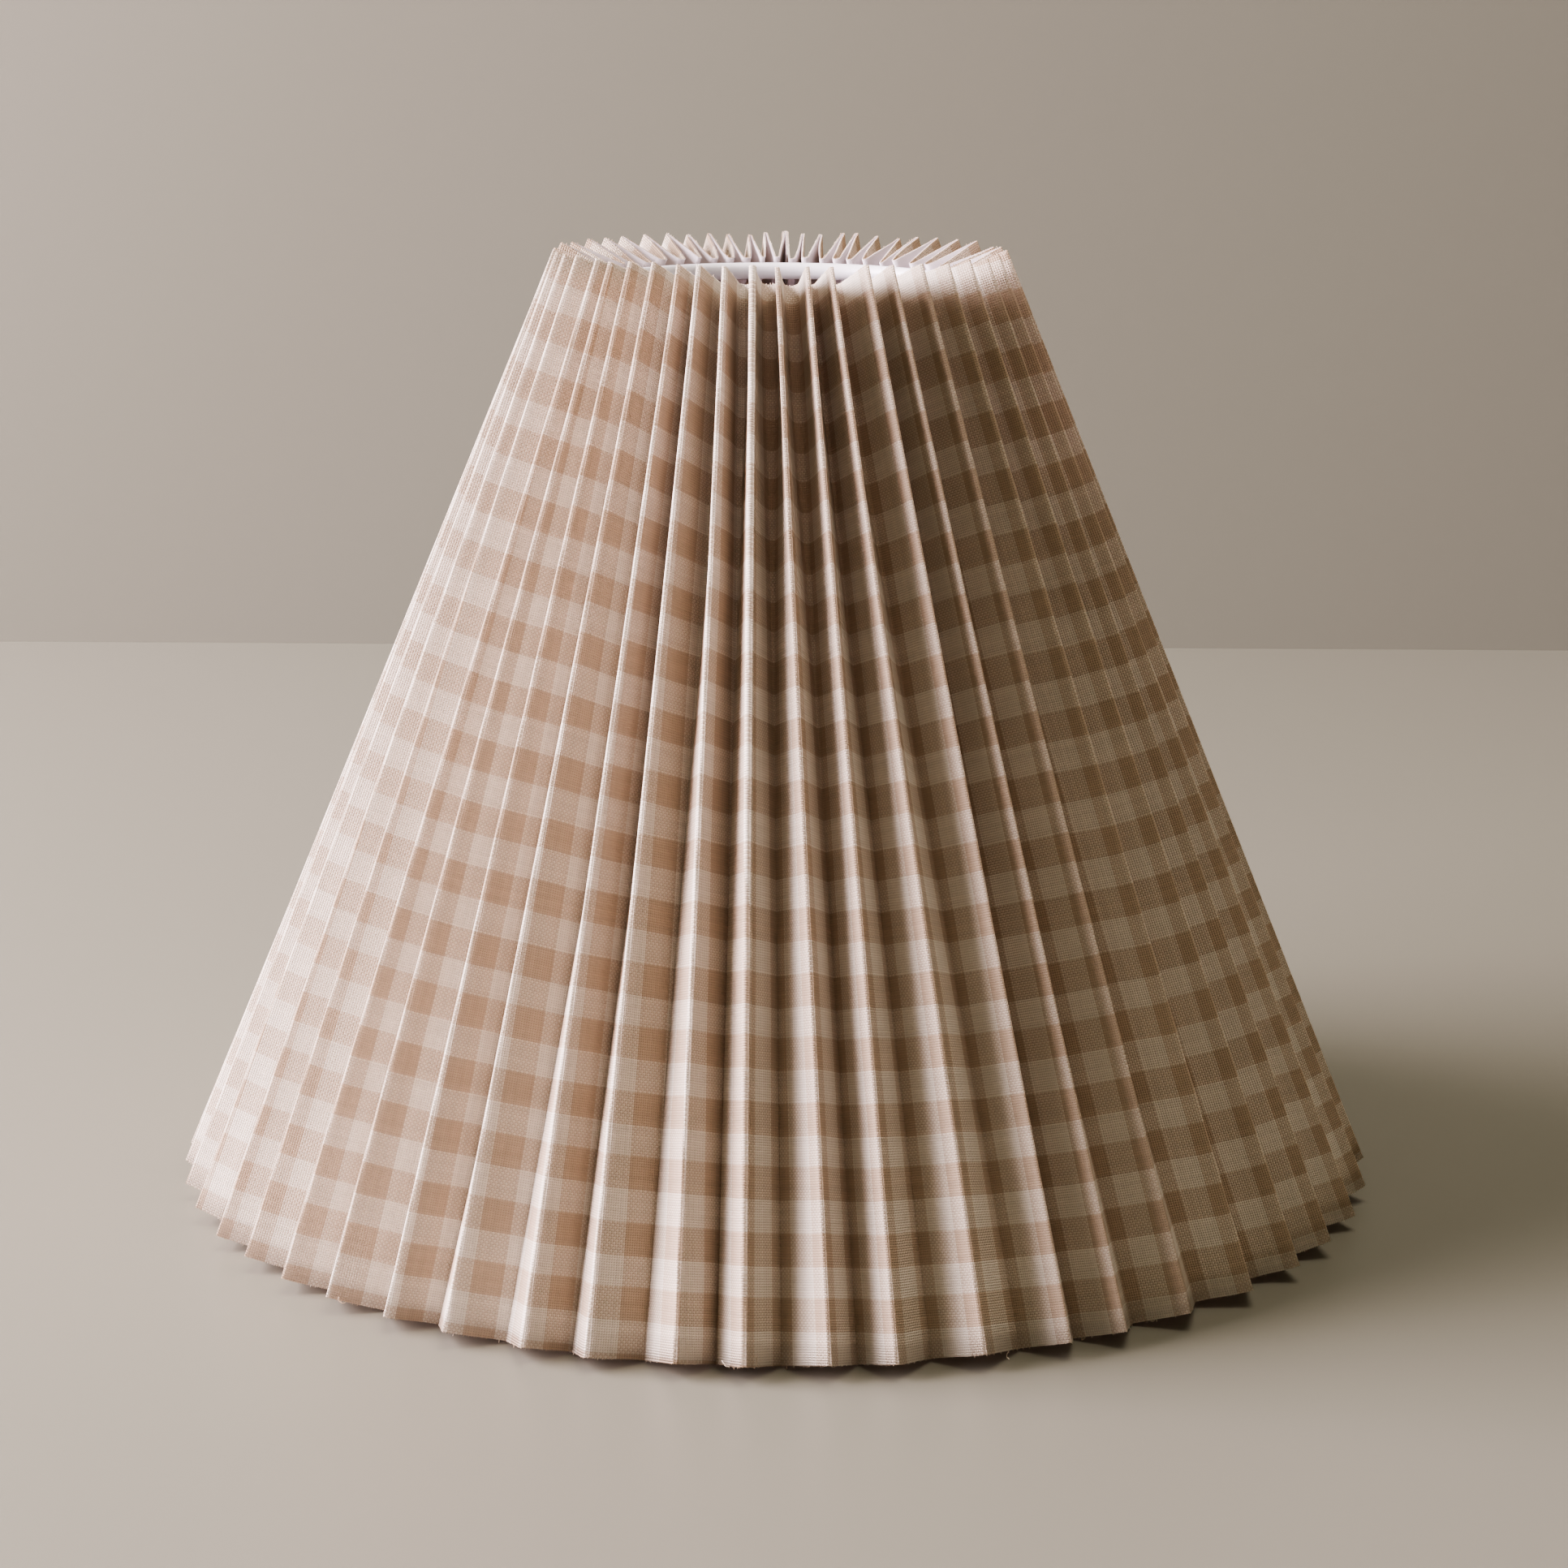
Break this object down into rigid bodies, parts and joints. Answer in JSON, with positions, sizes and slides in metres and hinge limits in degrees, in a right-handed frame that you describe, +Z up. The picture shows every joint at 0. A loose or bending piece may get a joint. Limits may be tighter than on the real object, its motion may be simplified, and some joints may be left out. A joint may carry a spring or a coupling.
{
  "type": "lamp shade",
  "caption": "Accordion-pleated cone lamp shade in gingham cotton on white film, glued to two wire rings, with a three-arm spider and an E27 fitter ring.",
  "frame": {"origin": "on the shade's axis, at the height of the lowest corners of its inner folds, where it stands", "axes": "+Z up along the axis from the wide hem to the narrow top, -Y towards the front, where one of the two lapped seams is, and +X to the right seen from the front"},
  "size_m": [0.3006, 0.3008, 0.2328],
  "materials": {
    "gingham_cotton": "plain-weave cotton, beige and off-white gingham check",
    "white_film": "smooth satin white styrene film",
    "white_powder_coat": "semi-gloss white powder coat on steel"
  },
  "bodies": {
    "root": {"cover_strip_a": "gingham_cotton", "cover_strip_b": "gingham_cotton", "liner_strip_a": "white_film", "liner_strip_b": "white_film", "top_ring": "white_powder_coat", "bottom_ring": "white_powder_coat", "fitter_ring": "white_powder_coat", "spider_arm_1": "white_powder_coat", "spider_arm_2": "white_powder_coat", "spider_arm_3": "white_powder_coat"}
  },
  "joints": []
}
